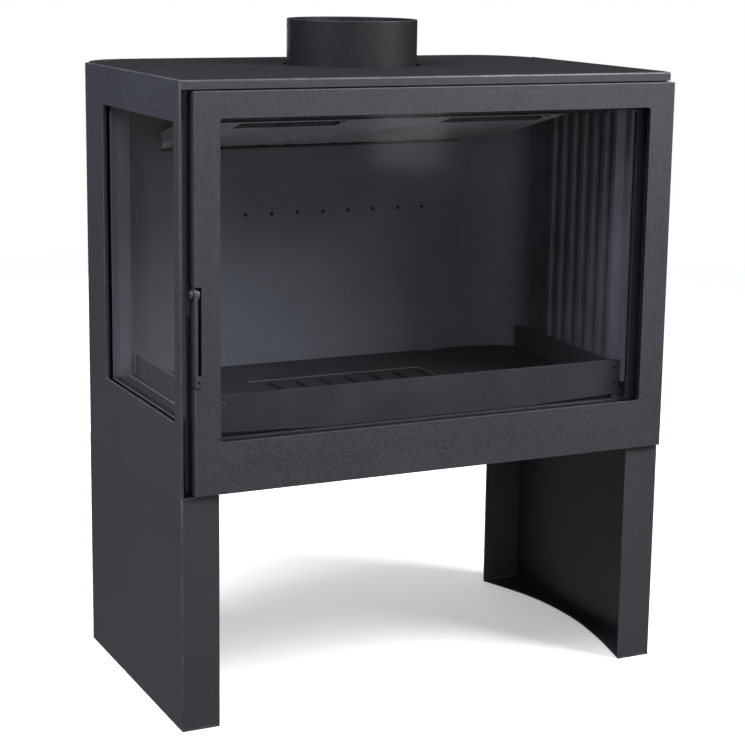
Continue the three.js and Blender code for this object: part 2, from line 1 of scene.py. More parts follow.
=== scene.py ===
"""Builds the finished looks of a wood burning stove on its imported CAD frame.

Lengths are metres. +Z is up, the door faces -Y, and the floor is z = 0.
"""

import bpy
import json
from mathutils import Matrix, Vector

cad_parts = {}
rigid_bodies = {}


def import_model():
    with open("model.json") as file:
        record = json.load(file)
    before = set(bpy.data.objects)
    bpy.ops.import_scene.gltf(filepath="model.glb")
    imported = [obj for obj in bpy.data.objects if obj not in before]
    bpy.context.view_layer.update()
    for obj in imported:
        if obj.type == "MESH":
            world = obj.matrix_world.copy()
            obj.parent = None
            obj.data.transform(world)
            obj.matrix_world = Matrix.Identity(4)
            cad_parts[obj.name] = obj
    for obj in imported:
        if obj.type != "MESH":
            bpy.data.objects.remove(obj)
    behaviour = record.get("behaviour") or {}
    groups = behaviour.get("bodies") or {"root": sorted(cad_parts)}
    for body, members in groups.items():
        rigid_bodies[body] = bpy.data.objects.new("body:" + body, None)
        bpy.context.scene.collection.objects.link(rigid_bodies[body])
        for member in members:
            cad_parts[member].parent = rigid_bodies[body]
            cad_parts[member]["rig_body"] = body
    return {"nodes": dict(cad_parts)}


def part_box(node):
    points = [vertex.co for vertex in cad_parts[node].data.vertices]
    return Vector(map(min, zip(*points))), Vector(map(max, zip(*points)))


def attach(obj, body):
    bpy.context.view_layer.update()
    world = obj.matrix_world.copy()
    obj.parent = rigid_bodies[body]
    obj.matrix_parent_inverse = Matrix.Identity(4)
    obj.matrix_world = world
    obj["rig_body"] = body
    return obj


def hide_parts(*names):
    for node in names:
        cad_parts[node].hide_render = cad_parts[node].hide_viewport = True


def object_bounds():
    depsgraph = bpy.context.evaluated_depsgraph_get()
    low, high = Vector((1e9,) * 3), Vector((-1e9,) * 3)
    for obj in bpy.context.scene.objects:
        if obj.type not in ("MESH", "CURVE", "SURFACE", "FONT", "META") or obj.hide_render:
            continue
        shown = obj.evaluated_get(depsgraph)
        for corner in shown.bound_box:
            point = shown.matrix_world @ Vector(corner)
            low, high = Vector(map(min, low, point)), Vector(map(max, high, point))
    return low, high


bl_info = {
    "name": "Wood Burning Stove",
    "version": (1, 0, 0),
    "blender": (4, 5, 0),
    "location": "View3D > Sidebar > Stove",
    "description": "Finishes a free-standing stove on its CAD frame, with a studio stage",
    "category": "Object",
}

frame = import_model()
CAD_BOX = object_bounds()

import json
import math
import random

import bmesh
import bpy
from bpy.props import FloatProperty, FloatVectorProperty, IntProperty, PointerProperty
from bpy.types import Operator, Panel, PropertyGroup
from mathutils import Euler, Matrix, Vector, noise

MM = 0.001
MERGE = 1e-6                       # corners of loose triangles closer than this are one
SHARP = math.radians(25)           # an edge that turns more than this is rounded
EDGE_LAYER = "worn_edge"           # 1 on rounded edges, where paint is thin, else 0

DEBURRED = 0.5 * MM                # rounding of small machined and pressed parts
ROPE_EDGE = 0.8 * MM               # rounding of the soft gaskets
PANEL_EDGE = 1.3                   # edges of thick panels, in times the cut edge
RIM_EDGE = 2.2                     # rim of the door's opening, in times the cut edge
FINE_CAST_EDGE = 0.7               # edges of small castings, in times the cast edge
RIB_EDGE = 0.6                     # edges of the ribs, in times the cast edge

REAR_CORNER_WIDTH = 85.7 * MM      # how much of the rear cover's width each bend takes
REAR_CORNER_STEPS = 36
COLLAR_WALL = 3 * MM
COLLAR_FLANGE = 17 * MM            # how far the flange reaches out from the bore
COLLAR_STEPS = 128
RIM_BAND = 20 * MM                 # faces further in than this bound the door's opening
ROPE_HALF_WIDTH = 5 * MM
ROPE_BEND = 7 * MM                 # radius of the rope's middle at each corner
CATCH_HOLE = 1.2 * MM              # radius of the small hole in the left panel's edge
LEVER_HOLE = 1.8 * MM              # radius of the hole near the lever's lower end
HOLE_DEPTH = 5 * MM

BAFFLE_RISE = 0.25                 # how steeply the baffle rises towards the door
BAFFLE_SLOTS = ((-256 * MM, -88 * MM), (86 * MM, 262 * MM))
BAFFLE_SLOT_Y = -99.5 * MM
BAFFLE_RECESS_WIDTH = 46 * MM      # the lead-in round each slot, painted dark as shade
BAFFLE_RECESS_DEPTH = 7 * MM
CRUMB_SEED = 7
CRUMB_CUTS = 70                    # how often the board's broken edge changes height
CRUMB_SCALE = 90.0                 # about 11 mm from chip to chip
CRUMB_DEPTH = 3.5 * MM             # the deepest chip
CRUMB_REACH = 1.0 * MM             # how near the lowest level an edge must be to be chipped

# How bright the room is, from straight down (0) to straight up (1). It is dark near
# the horizon, so that the glass mirrors little.
SKY_GLOW = ((0.30, 0.40), (0.43, 0.07), (0.52, 0.05), (0.66, 0.07), (0.82, 0.35))


def linear(colour):
    """An sRGB hex colour as linear RGBA."""
    channels = [int(colour[i:i + 2], 16) / 255 for i in (1, 3, 5)]
    curve = [c / 12.92 if c <= 0.04045 else ((c + 0.055) / 1.055) ** 2.4 for c in channels]
    return (*curve, 1.0)


# ------------------------------------------------------------------- settings


class StoveFinishSettings(PropertyGroup):
    """Sizes and colours of the stove's own finish."""

    body_colour: FloatVectorProperty(
        name="Body paint", description="Colour of the paint on the body and door",
        subtype="COLOR", size=4, min=0, max=1, default=linear("#2b2c32"))
    leg_colour: FloatVectorProperty(
        name="Leg paint", description="Colour of the paint on the two legs",
        subtype="COLOR", size=4, min=0, max=1, default=linear("#292a2f"))
    liner_colour: FloatVectorProperty(
        name="Liner paint", description="Colour of the paint inside the fire chamber",
        subtype="COLOR", size=4, min=0, max=1, default=linear("#5e5f66"))
    grain: FloatProperty(
        name="Paint grain", description="Size of one speck of the textured paint",
        unit="LENGTH", min=0.0005, max=0.01, default=0.0022)
    fold_radius: FloatProperty(
        name="Fold radius", description="Outer radius where sheet steel is folded",
        unit="LENGTH", min=0.0005, max=0.0028, default=0.0024)
    cut_edge: FloatProperty(
        name="Cut edge", description="Rounding of a cut and deburred sheet edge",
        unit="LENGTH", min=0.0002, max=0.0012, default=0.0007)
    cast_edge: FloatProperty(
        name="Cast edge", description="Rounding of an edge of cast iron",
        unit="LENGTH", min=0.0004, max=0.002, default=0.0015)
    round_steps: IntProperty(
        name="Round steps", description="Facets in a quarter of a rounded edge",
        min=1, max=6, default=3)


class StoveStageSettings(PropertyGroup):
    """The camera, the floor and the studio lights."""

    camera_place: FloatVectorProperty(
        name="Camera place", description="Where the camera stands",
        subtype="TRANSLATION", unit="LENGTH", size=3, default=(-1.290, -2.725, 1.113))
    azimuth: FloatProperty(
        name="Azimuth", description="Turn of the camera round the stove, 0 from the front",
        subtype="ANGLE", default=math.radians(-25.61))
    elevation: FloatProperty(
        name="Elevation", description="How far the camera looks down",
        subtype="ANGLE", default=math.radians(11.30))
    roll: FloatProperty(
        name="Roll", description="Turn of the camera about its own line of sight",
        subtype="ANGLE", default=math.radians(0.80))
    lens: FloatProperty(
        name="Lens", description="Focal length on a sensor 36 mm wide, in millimetres",
        min=20, max=300, default=92.92)
    lift: FloatProperty(
        name="Lens shift", description="Vertical shift of the lens as a share of the frame",
        min=-0.08, max=0.08, default=-0.05)
    floor_colour: FloatVectorProperty(
        name="Floor", description="Colour of the studio floor",
        subtype="COLOR", size=4, min=0, max=1, default=linear("#f1f1f0"))
    key_power: FloatProperty(
        name="Key light", description="Power of the large light at the front right",
        subtype="POWER", unit="POWER", min=0, default=136.0)
    fill_power: FloatProperty(
        name="Fill light", description="Power of the soft light at the left",
        subtype="POWER", unit="POWER", min=0, default=112.0)
    front_power: FloatProperty(
        name="Front light", description="Power of the low soft light behind the camera",
        subtype="POWER", unit="POWER", min=0, default=34.0)
    rim_power: FloatProperty(
        name="Rim light", description="Power of the low soft light behind the stove",
        subtype="POWER", unit="POWER", min=0, default=34.0)
    strip_power: FloatProperty(
        name="Strip light", description="Power of the narrow light that the door glass mirrors",
        subtype="POWER", unit="POWER", min=0, default=0.45)


# ------------------------------------------------------------------ materials


def add_node(tree, kind, settings=None, inputs=None):
    """One node with its settings; each input is a value or another node's output."""
    node = tree.nodes.new(kind)
    for name, value in (settings or {}).items():
        setattr(node, name, value)
    for key, value in (inputs or {}).items():
        socket = node.inputs[key]
        if isinstance(value, bpy.types.NodeSocket):
            tree.links.new(value, socket)
        else:
            socket.default_value = value
    return node


def new_material(name, display):
    """An empty node material, its output node and its object coordinates."""
    material = bpy.data.materials.new(name)
    material.use_nodes = True
    material.diffuse_color = display
    tree = material.node_tree
    tree.nodes.clear()
    place = add_node(tree, "ShaderNodeTexCoord").outputs["Object"]
    output = add_node(tree, "ShaderNodeOutputMaterial")
    return material, tree, place, output


def tinted(colour, factor):
    """A linear colour made lighter or darker by a factor."""
    return (*(min(1.0, c * factor) for c in colour[:3]), 1.0)


def sprayed_paint(name, colour, grain, contrast, roughness, bump, edge, sheen=0.5):
    """High-temperature silicone paint sprayed on sheet steel with a fine grit.

    The eye gets a dark satin with a sandy speckle, a little cloudiness where the
    coats overlap, and lighter metal grey where it is thin along the edges. The
    real grit is about 0.5 mm across and is drawn coarser, so that it shows.
    """
    material, tree, place, output = new_material(name, colour)
    speck = add_node(tree, "ShaderNodeTexNoise", inputs={
        "Vector": place, "Scale": 1 / grain, "Detail": 3.0, "Roughness": 0.65})
    cloud = add_node(tree, "ShaderNodeTexNoise", inputs={
        "Vector": place, "Scale": 1 / (180 * MM), "Detail": 2.0, "Roughness": 0.5})
    speckled = add_node(tree, "ShaderNodeValToRGB", inputs={"Fac": speck.outputs["Fac"]})
    low, high = speckled.color_ramp.elements
    low.position, low.color = 0.30, tinted(colour, 1 - contrast)
    high.position, high.color = 0.74, tinted(colour, 1 + contrast * 1.25)
    overlap = add_node(tree, "ShaderNodeMapRange", inputs={
        "Value": cloud.outputs["Fac"], "From Min": 0.3, "From Max": 0.7,
        "To Min": 0.90, "To Max": 1.10})
    clouded = add_node(tree, "ShaderNodeVectorMath", {"operation": "SCALE"}, {
        0: speckled.outputs["Color"], "Scale": overlap.outputs["Result"]})
    rubbed = add_node(tree, "ShaderNodeTexNoise", inputs={
        "Vector": place, "Scale": 1 / (22 * MM), "Detail": 4.0})
    thin = add_node(tree, "ShaderNodeMapRange", inputs={
        "Value": rubbed.outputs["Fac"], "From Min": 0.38, "From Max": 0.66,
        "To Min": edge * 0.25, "To Max": edge})
    on_edge = add_node(tree, "ShaderNodeAttribute", {"attribute_name": EDGE_LAYER})
    wear = add_node(tree, "ShaderNodeMath", {"operation": "MULTIPLY"}, {
        0: thin.outputs["Result"], 1: on_edge.outputs["Fac"]})
    painted = add_node(tree, "ShaderNodeMix", {"data_type": "RGBA"}, {
        "Factor": wear.outputs["Value"], 6: clouded.outputs["Vector"],
        7: linear("#8d8f95")})
    gloss = add_node(tree, "ShaderNodeMapRange", inputs={
        "Value": speck.outputs["Fac"], "From Min": 0.3, "From Max": 0.7,
        "To Min": roughness - 0.07, "To Max": roughness + 0.07})
    relief = add_node(tree, "ShaderNodeBump", inputs={
        "Strength": bump, "Distance": 0.3 * MM, "Height": speck.outputs["Fac"]})
    shader = add_node(tree, "ShaderNodeBsdfPrincipled", inputs={
        "Base Color": painted.outputs[2], "Roughness": gloss.outputs["Result"],
        "Normal": relief.outputs["Normal"], "Specular IOR Level": sheen, "IOR": 1.5})
    tree.links.new(shader.outputs["BSDF"], output.inputs["Surface"])
    return material


def grey_cast_iron(name, colour):
    """Grey cast iron from a sand mould, brushed with stove black.

    The eye gets a dark, slightly pitted skin with a low dull sheen, and rubbed
    grey high spots on its edges.
    """
    material, tree, place, output = new_material(name, colour)
    sand = add_node(tree, "ShaderNodeTexNoise", inputs={
        "Vector": place, "Scale": 1 / (3.2 * MM), "Detail": 5.0, "Roughness": 0.6})
    pits = add_node(tree, "ShaderNodeTexVoronoi", {"feature": "F1"}, {
        "Vector": place, "Scale": 1 / (7 * MM), "Randomness": 1.0})
    hollow = add_node(tree, "ShaderNodeMapRange", inputs={
        "Value": pits.outputs["Distance"], "From Min": 0.0, "From Max": 0.35})
    skin = add_node(tree, "ShaderNodeMath", {"operation": "MULTIPLY"}, {
        0: sand.outputs["Fac"], 1: hollow.outputs["Result"]})
    stain = add_node(tree, "ShaderNodeTexNoise", inputs={
        "Vector": place, "Scale": 1 / (60 * MM), "Detail": 3.0})
    tone = add_node(tree, "ShaderNodeValToRGB", inputs={"Fac": stain.outputs["Fac"]})
    low, high = tone.color_ramp.elements
    low.position, low.color = 0.3, tinted(colour, 0.82)
    high.position, high.color = 0.7, tinted(colour, 1.2)
    on_edge = add_node(tree, "ShaderNodeAttribute", {"attribute_name": EDGE_LAYER})
    wear = add_node(tree, "ShaderNodeMath", {"operation": "MULTIPLY"}, {
        0: sand.outputs["Fac"], 1: on_edge.outputs["Fac"]})
    rubbed = add_node(tree, "ShaderNodeMix", {"data_type": "RGBA"}, {
        "Factor": wear.outputs["Value"], 6: tone.outputs["Color"], 7: linear("#67676b")})
    gloss = add_node(tree, "ShaderNodeMapRange", inputs={
        "Value": sand.outputs["Fac"], "From Min": 0.3, "From Max": 0.7,
        "To Min": 0.56, "To Max": 0.78})
    relief = add_node(tree, "ShaderNodeBump", inputs={
        "Strength": 0.35, "Distance": 0.4 * MM, "Height": skin.outputs["Value"]})
    shader = add_node(tree, "ShaderNodeBsdfPrincipled", inputs={
        "Base Color": rubbed.outputs[2], "Roughness": gloss.outputs["Result"],
        "Normal": relief.outputs["Normal"], "Metallic": 0.15, "IOR": 1.5})
    tree.links.new(shader.outputs["BSDF"], output.inputs["Surface"])
    return material


def vermiculite_board(name, grey):
    """Vermiculite board pressed from mica flakes, greyed by smoke.

    The eye gets a chalky matt board with flakes of 2 to 4 mm in mixed greys, and
    a few that glint.
    """
    material, tree, place, output = new_material(name, grey)
    flakes = add_node(tree, "ShaderNodeTexVoronoi", {"feature": "F1"}, {
        "Vector": place, "Scale": 1 / (3.4 * MM), "Randomness": 1.0})
    each = add_node(tree, "ShaderNodeSeparateColor", inputs={
        "Color": flakes.outputs["Color"]})
    tone = add_node(tree, "ShaderNodeValToRGB", inputs={"Fac": each.outputs[0]})
    low, high = tone.color_ramp.elements
    low.color, high.color = tinted(grey, 0.72), tinted(grey, 1.22)
    smoke = add_node(tree, "ShaderNodeTexNoise", inputs={
        "Vector": place, "Scale": 1 / (95 * MM), "Detail": 4.0})
    soot = add_node(tree, "ShaderNodeMapRange", inputs={
        "Value": smoke.outputs["Fac"], "From Min": 0.35, "From Max": 0.7,
        "To Min": 1.08, "To Max": 0.82})
    sooted = add_node(tree, "ShaderNodeVectorMath", {"operation": "SCALE"}, {
        0: tone.outputs["Color"], "Scale": soot.outputs["Result"]})
    gloss = add_node(tree, "ShaderNodeMapRange", inputs={
        "Value": each.outputs[1], "From Min": 0.8, "From Max": 1.0,
        "To Min": 0.92, "To Max": 0.5})
    relief = add_node(tree, "ShaderNodeBump", inputs={
        "Strength": 0.5, "Distance": 0.5 * MM, "Height": flakes.outputs["Distance"]})
    shader = add_node(tree, "ShaderNodeBsdfPrincipled", inputs={
        "Base Color": sooted.outputs["Vector"], "Roughness": gloss.outputs["Result"],
        "Normal": relief.outputs["Normal"], "IOR": 1.5})
    tree.links.new(shader.outputs["BSDF"], output.inputs["Surface"])
    return material


def ceramic_glass(name):
    """Clear glass-ceramic, rolled and polished, 4 mm thick.

    The eye gets a faint smoky tint on what is behind it and a soft grey veil of
    reflected room, with fine wiping marks in the gloss. It is a clear layer with a
    mirror layer over it, so that light reaches the fire chamber.
    """
    material, tree, place, output = new_material(name, linear("#c9cdd1"))
    wiping = add_node(tree, "ShaderNodeMapping", inputs={
        "Vector": place, "Rotation": (0, math.radians(24), 0), "Scale": (1, 1, 6)})
    streaks = add_node(tree, "ShaderNodeTexNoise", inputs={
        "Vector": wiping.outputs["Vector"], "Scale": 1 / (70 * MM), "Detail": 3.0})
    gloss = add_node(tree, "ShaderNodeMapRange", inputs={
        "Value": streaks.outputs["Fac"], "From Min": 0.3, "From Max": 0.7,
        "To Min": 0.05, "To Max": 0.12})
    edge_on = add_node(tree, "ShaderNodeFresnel", inputs={"IOR": 1.5})
    veil = add_node(tree, "ShaderNodeMath", {"operation": "MULTIPLY"}, {
        0: edge_on.outputs["Fac"], 1: 0.22})
    clear = add_node(tree, "ShaderNodeBsdfTransparent", inputs={"Color": linear("#f4f5f6")})
    mirror = add_node(tree, "ShaderNodeBsdfGlossy", inputs={
        "Color": linear("#fbfbfd"), "Roughness": gloss.outputs["Result"]})
    mixed = add_node(tree, "ShaderNodeMixShader", inputs={
        0: veil.outputs["Value"], 1: clear.outputs["BSDF"], 2: mirror.outputs["BSDF"]})
    tree.links.new(mixed.outputs["Shader"], output.inputs["Surface"])
    return material


def knitted_glass_rope(name):
    """Glass fibre rope and tape, knitted and blackened with graphite.

    The eye gets a dull charcoal cord with two crossing rows of stitches, one
    every 4 mm.
    """
    charcoal = linear("#4b4a48")
    material, tree, place, output = new_material(name, charcoal)
    rows = []
    for lean in (1, -1):
        slant = add_node(tree, "ShaderNodeVectorMath", {"operation": "DOT_PRODUCT"}, {
            0: place, 1: (1.0, 1.4 * lean, 1.0)})
        phase = add_node(tree, "ShaderNodeMath", {"operation": "MULTIPLY"}, {
            0: slant.outputs["Value"], 1: 2 * math.pi / (4 * MM)})
        wave = add_node(tree, "ShaderNodeMath", {"operation": "SINE"}, {
            0: phase.outputs["Value"]})
        rows.append(wave.outputs["Value"])
    knit = add_node(tree, "ShaderNodeMath", {"operation": "MAXIMUM"}, {
        0: rows[0], 1: rows[1]})
    fluff = add_node(tree, "ShaderNodeTexNoise", inputs={
        "Vector": place, "Scale": 1 / (1.5 * MM), "Detail": 4.0})
    shade = add_node(tree, "ShaderNodeMapRange", inputs={
        "Value": knit.outputs["Value"], "From Min": -0.4, "From Max": 1.0})
    tone = add_node(tree, "ShaderNodeMix", {"data_type": "RGBA"}, {
        "Factor": shade.outputs["Result"], 6: tinted(charcoal, 0.45), 7: charcoal})
    height = add_node(tree, "ShaderNodeMath", {"operation": "MULTIPLY_ADD"}, {
        0: fluff.outputs["Fac"], 1: 0.5, 2: knit.outputs["Value"]})
    rough = add_node(tree, "ShaderNodeMapRange", inputs={
        "Value": fluff.outputs["Fac"], "To Min": 0.85, "To Max": 1.0})
    relief = add_node(tree, "ShaderNodeBump", inputs={
        "Strength": 0.7, "Distance": 0.6 * MM, "Height": height.outputs["Value"]})
    shader = add_node(tree, "ShaderNodeBsdfPrincipled", inputs={
        "Base Color": tone.outputs[2], "Roughness": rough.outputs["Result"],
        "Normal": relief.outputs["Normal"], "Sheen Weight": 0.25})
    tree.links.new(shader.outputs["BSDF"], output.inputs["Surface"])
    return material


def blued_steel(name, colour):
    """Bare mild steel, blued by heat and lightly oiled.

    The eye gets a grey metal with fine draw marks and darker patches.
    """
    material, tree, place, output = new_material(name, colour)
    drawn = add_node(tree, "ShaderNodeMapping", inputs={
        "Vector": place, "Scale": (1, 1, 14)})
    marks = add_node(tree, "ShaderNodeTexNoise", inputs={
        "Vector": drawn.outputs["Vector"], "Scale": 1 / (3 * MM), "Detail": 3.0})
    patches = add_node(tree, "ShaderNodeTexNoise", inputs={
        "Vector": place, "Scale": 1 / (14 * MM), "Detail": 3.0})
    tone = add_node(tree, "ShaderNodeValToRGB", inputs={"Fac": patches.outputs["Fac"]})
    low, high = tone.color_ramp.elements
    low.position, low.color = 0.3, tinted(colour, 0.65)
    high.position, high.color = 0.7, tinted(colour, 1.15)
    gloss = add_node(tree, "ShaderNodeMapRange", inputs={
        "Value": marks.outputs["Fac"], "From Min": 0.3, "From Max": 0.7,
        "To Min": 0.34, "To Max": 0.52})
    relief = add_node(tree, "ShaderNodeBump", inputs={
        "Strength": 0.15, "Distance": 0.1 * MM, "Height": marks.outputs["Fac"]})
    shader = add_node(tree, "ShaderNodeBsdfPrincipled", inputs={
        "Base Color": tone.outputs["Color"], "Roughness": gloss.outputs["Result"],
        "Normal": relief.outputs["Normal"], "Metallic": 0.9})
    tree.links.new(shader.outputs["BSDF"], output.inputs["Surface"])
    return material


def studio_floor(name, colour):
    """Matt white laminate: pale, with a hardly visible cloudiness in its gloss.

    Far from the stove it glows evenly white, so that no horizon shows.
    """
    material, tree, place, output = new_material(name, colour)
    cloud = add_node(tree, "ShaderNodeTexNoise", inputs={
        "Vector": place, "Scale": 1.4, "Detail": 3.0})
    tone = add_node(tree, "ShaderNodeMix", {"data_type": "RGBA"}, {
        "Factor": cloud.outputs["Fac"], 6: tinted(colour, 0.985), 7: colour})
    rough = add_node(tree, "ShaderNodeMapRange", inputs={
        "Value": cloud.outputs["Fac"], "To Min": 0.75, "To Max": 0.9})
    shader = add_node(tree, "ShaderNodeBsdfPrincipled", inputs={
        "Base Color": tone.outputs[2], "Roughness": rough.outputs["Result"],
        "Specular IOR Level": 0.2, "Emission Color": colour, "Emission Strength": 0.42})
    reach = add_node(tree, "ShaderNodeVectorMath", {"operation": "LENGTH"}, {0: place})
    far = add_node(tree, "ShaderNodeMapRange", {"interpolation_type": "SMOOTHSTEP"}, {
        "Value": reach.outputs["Value"], "From Min": 1.2, "From Max": 4.5})
    glow = add_node(tree, "ShaderNodeEmission", inputs={
        "Color": linear("#ffffff"), "Strength": 1.0})
    mixed = add_node(tree, "ShaderNodeMixShader", inputs={
        0: far.outputs["Result"], 1: shader.outputs["BSDF"], 2: glow.outputs["Emission"]})
    tree.links.new(mixed.outputs["Shader"], output.inputs["Surface"])
    return material


# Each finish: its slot in the record, and how it is made from the settings.
FINISHES = {
    "body": ("stove_paint", lambda s: sprayed_paint(
        "anthracite_stove_paint", s.body_colour, s.grain, 0.55, 0.50, 0.45, 0.16)),
    # Painted shade: the upper face of the top plate takes the body paint darkened to a third.
    "top": ("stove_paint", lambda s: sprayed_paint(
        "top_plate_paint_with_painted_shade", tinted(s.body_colour, 0.34), s.grain,
        0.36, 0.72, 0.40, 0.16, 0.16)),
    # The flue collar's near-black paint, which the door's opening also takes as painted shade.
    "collar": ("stove_paint", lambda s: sprayed_paint(
        "black_flue_paint_and_painted_shade", linear("#0f0f14"), s.grain * 1.6,
        0.80, 0.55, 0.60, 0.10, 0.30)),
    "leg": ("leg_paint", lambda s: sprayed_paint(
        "anthracite_leg_paint", s.leg_colour, s.grain, 0.34, 0.54, 0.40, 0.16)),
    "casing": ("casing_steel", lambda s: sprayed_paint(
        "primed_casing_steel", linear("#151518"), s.grain, 0.12, 0.64, 0.16, 0.25)),
    "liner": ("liner_steel", lambda s: sprayed_paint(
        "painted_liner_steel", s.liner_colour, s.grain, 0.10, 0.58, 0.10, 0.30)),
    "sooted_liner": ("liner_steel", lambda s: sprayed_paint(
        "sooted_liner_steel", linear("#151518"), s.grain, 0.30, 0.72, 0.20, 0.20, 0.25)),
    "guard_iron": ("cast_iron", lambda s: grey_cast_iron(
        "brushed_cast_iron", linear("#37373c"))),
    "rib_iron": ("cast_iron", lambda s: grey_cast_iron(
        "cast_iron_fire_plate", linear("#6b6a72"))),
    # Painted shade: the hearth floor and grate take cast iron far darker than the log guard's,
    # for the shade on the chamber's floor.
    "hearth_iron_painted_shade": ("cast_iron", lambda s: grey_cast_iron(
        "cast_iron_with_painted_shade", linear("#17171a"))),
    "vermiculite": ("vermiculite", lambda s: vermiculite_board(
        "pressed_vermiculite", linear("#b4b0b6"))),
    # Painted shade: the dark vermiculite on the cut faces of the baffle's recesses.
    "soot": ("vermiculite", lambda s: vermiculite_board(
        "vermiculite_darkened_as_painted_shade", linear("#55535a"))),
    "glass": ("ceramic_glass", lambda s: ceramic_glass("clear_glass_ceramic")),
    "rope": ("rope_seal", lambda s: knitted_glass_rope("knitted_glass_rope")),
    "steel": ("plain_steel", lambda s: blued_steel("blued_mild_steel", linear("#6a6b70"))),
}
MADE_FINISHES = {}


def finish_of(name):
    """The material of a finish, made the first time it is asked for."""
    if name not in MADE_FINISHES:
        MADE_FINISHES[name] = FINISHES[name][1](bpy.context.scene.stove_finish)
    return MADE_FINISHES[name]


# -------------------------------------------------------------- shape helpers


def merged_copy(node):
    """A CAD node's shape with shared corners and whole flat faces."""
    form = bmesh.new()
    form.from_mesh(frame["nodes"][node].data)
    bmesh.ops.remove_doubles(form, verts=form.verts, dist=MERGE)
    bmesh.ops.dissolve_limit(
        form, angle_limit=math.radians(0.5), verts=form.verts, edges=form.edges)
    form.faces.layers.float.new(EDGE_LAYER)
    return form


def convex_edges(form, chosen=None):
    """Edges that stick out and turn sharply, and that the choice lets through."""
    return [
        edge for edge in form.edges
        if edge.is_manifold and edge.is_convex and edge.calc_face_angle() > SHARP
        and (chosen is None or chosen(edge))
    ]


def round_edges(form, width, steps, chosen=None):
    """Rounds the chosen sharp edges and marks the new faces as worn edge."""
    edges = convex_edges(form, chosen)
    if not edges:
        return
    rounded = bmesh.ops.bevel(
        form, geom=edges, offset=width, offset_type="OFFSET", segments=steps,
        profile=0.5, affect="EDGES", clamp_overlap=True, material=-1)
    layer = form.faces.layers.float[EDGE_LAYER]
    for face in rounded["faces"]:
        face[layer] = 1.0


def along(axis):
    """A test for edges that run along one axis."""
    def test(edge):
        direction = edge.verts[1].co - edge.verts[0].co
        return abs(direction[axis]) > 0.99 * direction.length
    return test


def at_level(axis, level, tolerance=0.3 * MM):
    """A test for edges whose two ends lie at one level on an axis."""
    return lambda edge: all(abs(v.co[axis] - level) < tolerance for v in edge.verts)


def shade(form):
    """Smooth shading on curves, and crisp borders round flat faces."""
    layer = form.faces.layers.float[EDGE_LAYER]
    for face in form.faces:
        face.smooth = True
    for edge in form.edges:
        worn = {face[layer] > 0 for face in edge.link_faces}
        edge.smooth = len(worn) == 1 and edge.calc_face_angle(0) < SHARP


def to_piece(form, name, finish, body, nodes=()):
    """Makes the shape an object that rides on a body and stands for CAD nodes."""
    shade(form)
    mesh = bpy.data.meshes.new(name)
    form.to_mesh(mesh)
    form.free()
    mesh.materials.append(finish_of(finish))
    piece = bpy.data.objects.new(name, mesh)
    bpy.context.scene.collection.objects.link(piece)
    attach(piece, body)
    if nodes:
        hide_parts(*nodes)
    return piece


def body_of_node(node):
    """The name of the body that a CAD node belongs to."""
    return frame["nodes"][node]["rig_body"]


def finish_node(node, finish, width, steps=2, shape=None):
    """A CAD node with its edges rounded, as a finished piece that stands for it."""
    form = merged_copy(node)
    if shape:
        shape(form)
    round_edges(form, width, steps)
    return to_piece(form, node + "_finished", finish, body_of_node(node), [node])


def finish_nodes(finish, width, *nodes):
    """Several CAD nodes with the same finish and the same rounded edges."""
    for node in nodes:
        finish_node(node, finish, width)


def refinish_faces(piece, finish, chosen):
    """Gives the chosen faces of a piece a second finish."""
    piece.data.materials.append(finish_of(finish))
    for face in piece.data.polygons:
        if chosen(face):
            face.material_index = len(piece.data.materials) - 1


def carve(piece, form):
    """Cuts a tool shape out of a piece. The cut faces take the piece's last finish."""
    mesh = bpy.data.meshes.new("tool")
    form.to_mesh(mesh)
    form.free()
    tool = bpy.data.objects.new("tool", mesh)
    for material in piece.data.materials:
        mesh.materials.append(material)
    for face in mesh.polygons:
        face.material_index = len(mesh.materials) - 1
    bpy.context.scene.collection.objects.link(tool)
    hole = piece.modifiers.new("hole", "BOOLEAN")
    hole.object = tool
    hole.operation = "DIFFERENCE"
    hole.solver = "EXACT"
    evaluated = piece.evaluated_get(bpy.context.evaluated_depsgraph_get())
    cut = bpy.data.meshes.new_from_object(evaluated)
    piece.modifiers.remove(hole)
    old, piece.data = piece.data, cut
    cut.name = old.name
    bpy.data.meshes.remove(old)
    bpy.data.objects.remove(tool)


def drill(piece, centre, radius, depth, axis):
    """Cuts a round hole of a depth into a piece, centred on its mouth."""
    form = bmesh.new()
    turn = Vector((0, 0, 1)).rotation_difference(Vector(axis)).to_matrix().to_4x4()
    bmesh.ops.create_cone(
        form, cap_ends=True, segments=24, radius1=radius, radius2=radius,
        depth=2 * depth, matrix=Matrix.Translation(centre) @ turn)
    carve(piece, form)


def spun_ring(profile, centre, axis, steps):
    """A closed profile of points turned all the way round an axis."""
    form = bmesh.new()
    corners = [form.verts.new(point) for point in profile]
    edges = [form.edges.new((a, b)) for a, b in zip(corners, corners[1:] + corners[:1])]
    bmesh.ops.spin(
        form, geom=corners + edges, cent=centre, axis=axis, angle=2 * math.pi,
        steps=steps, use_merge=True)
    bmesh.ops.remove_doubles(form, verts=form.verts, dist=MERGE)
    bmesh.ops.recalc_face_normals(form, faces=form.faces)
    form.faces.layers.float.new(EDGE_LAYER)
    return form


# ------------------------------------------------------------------ operators


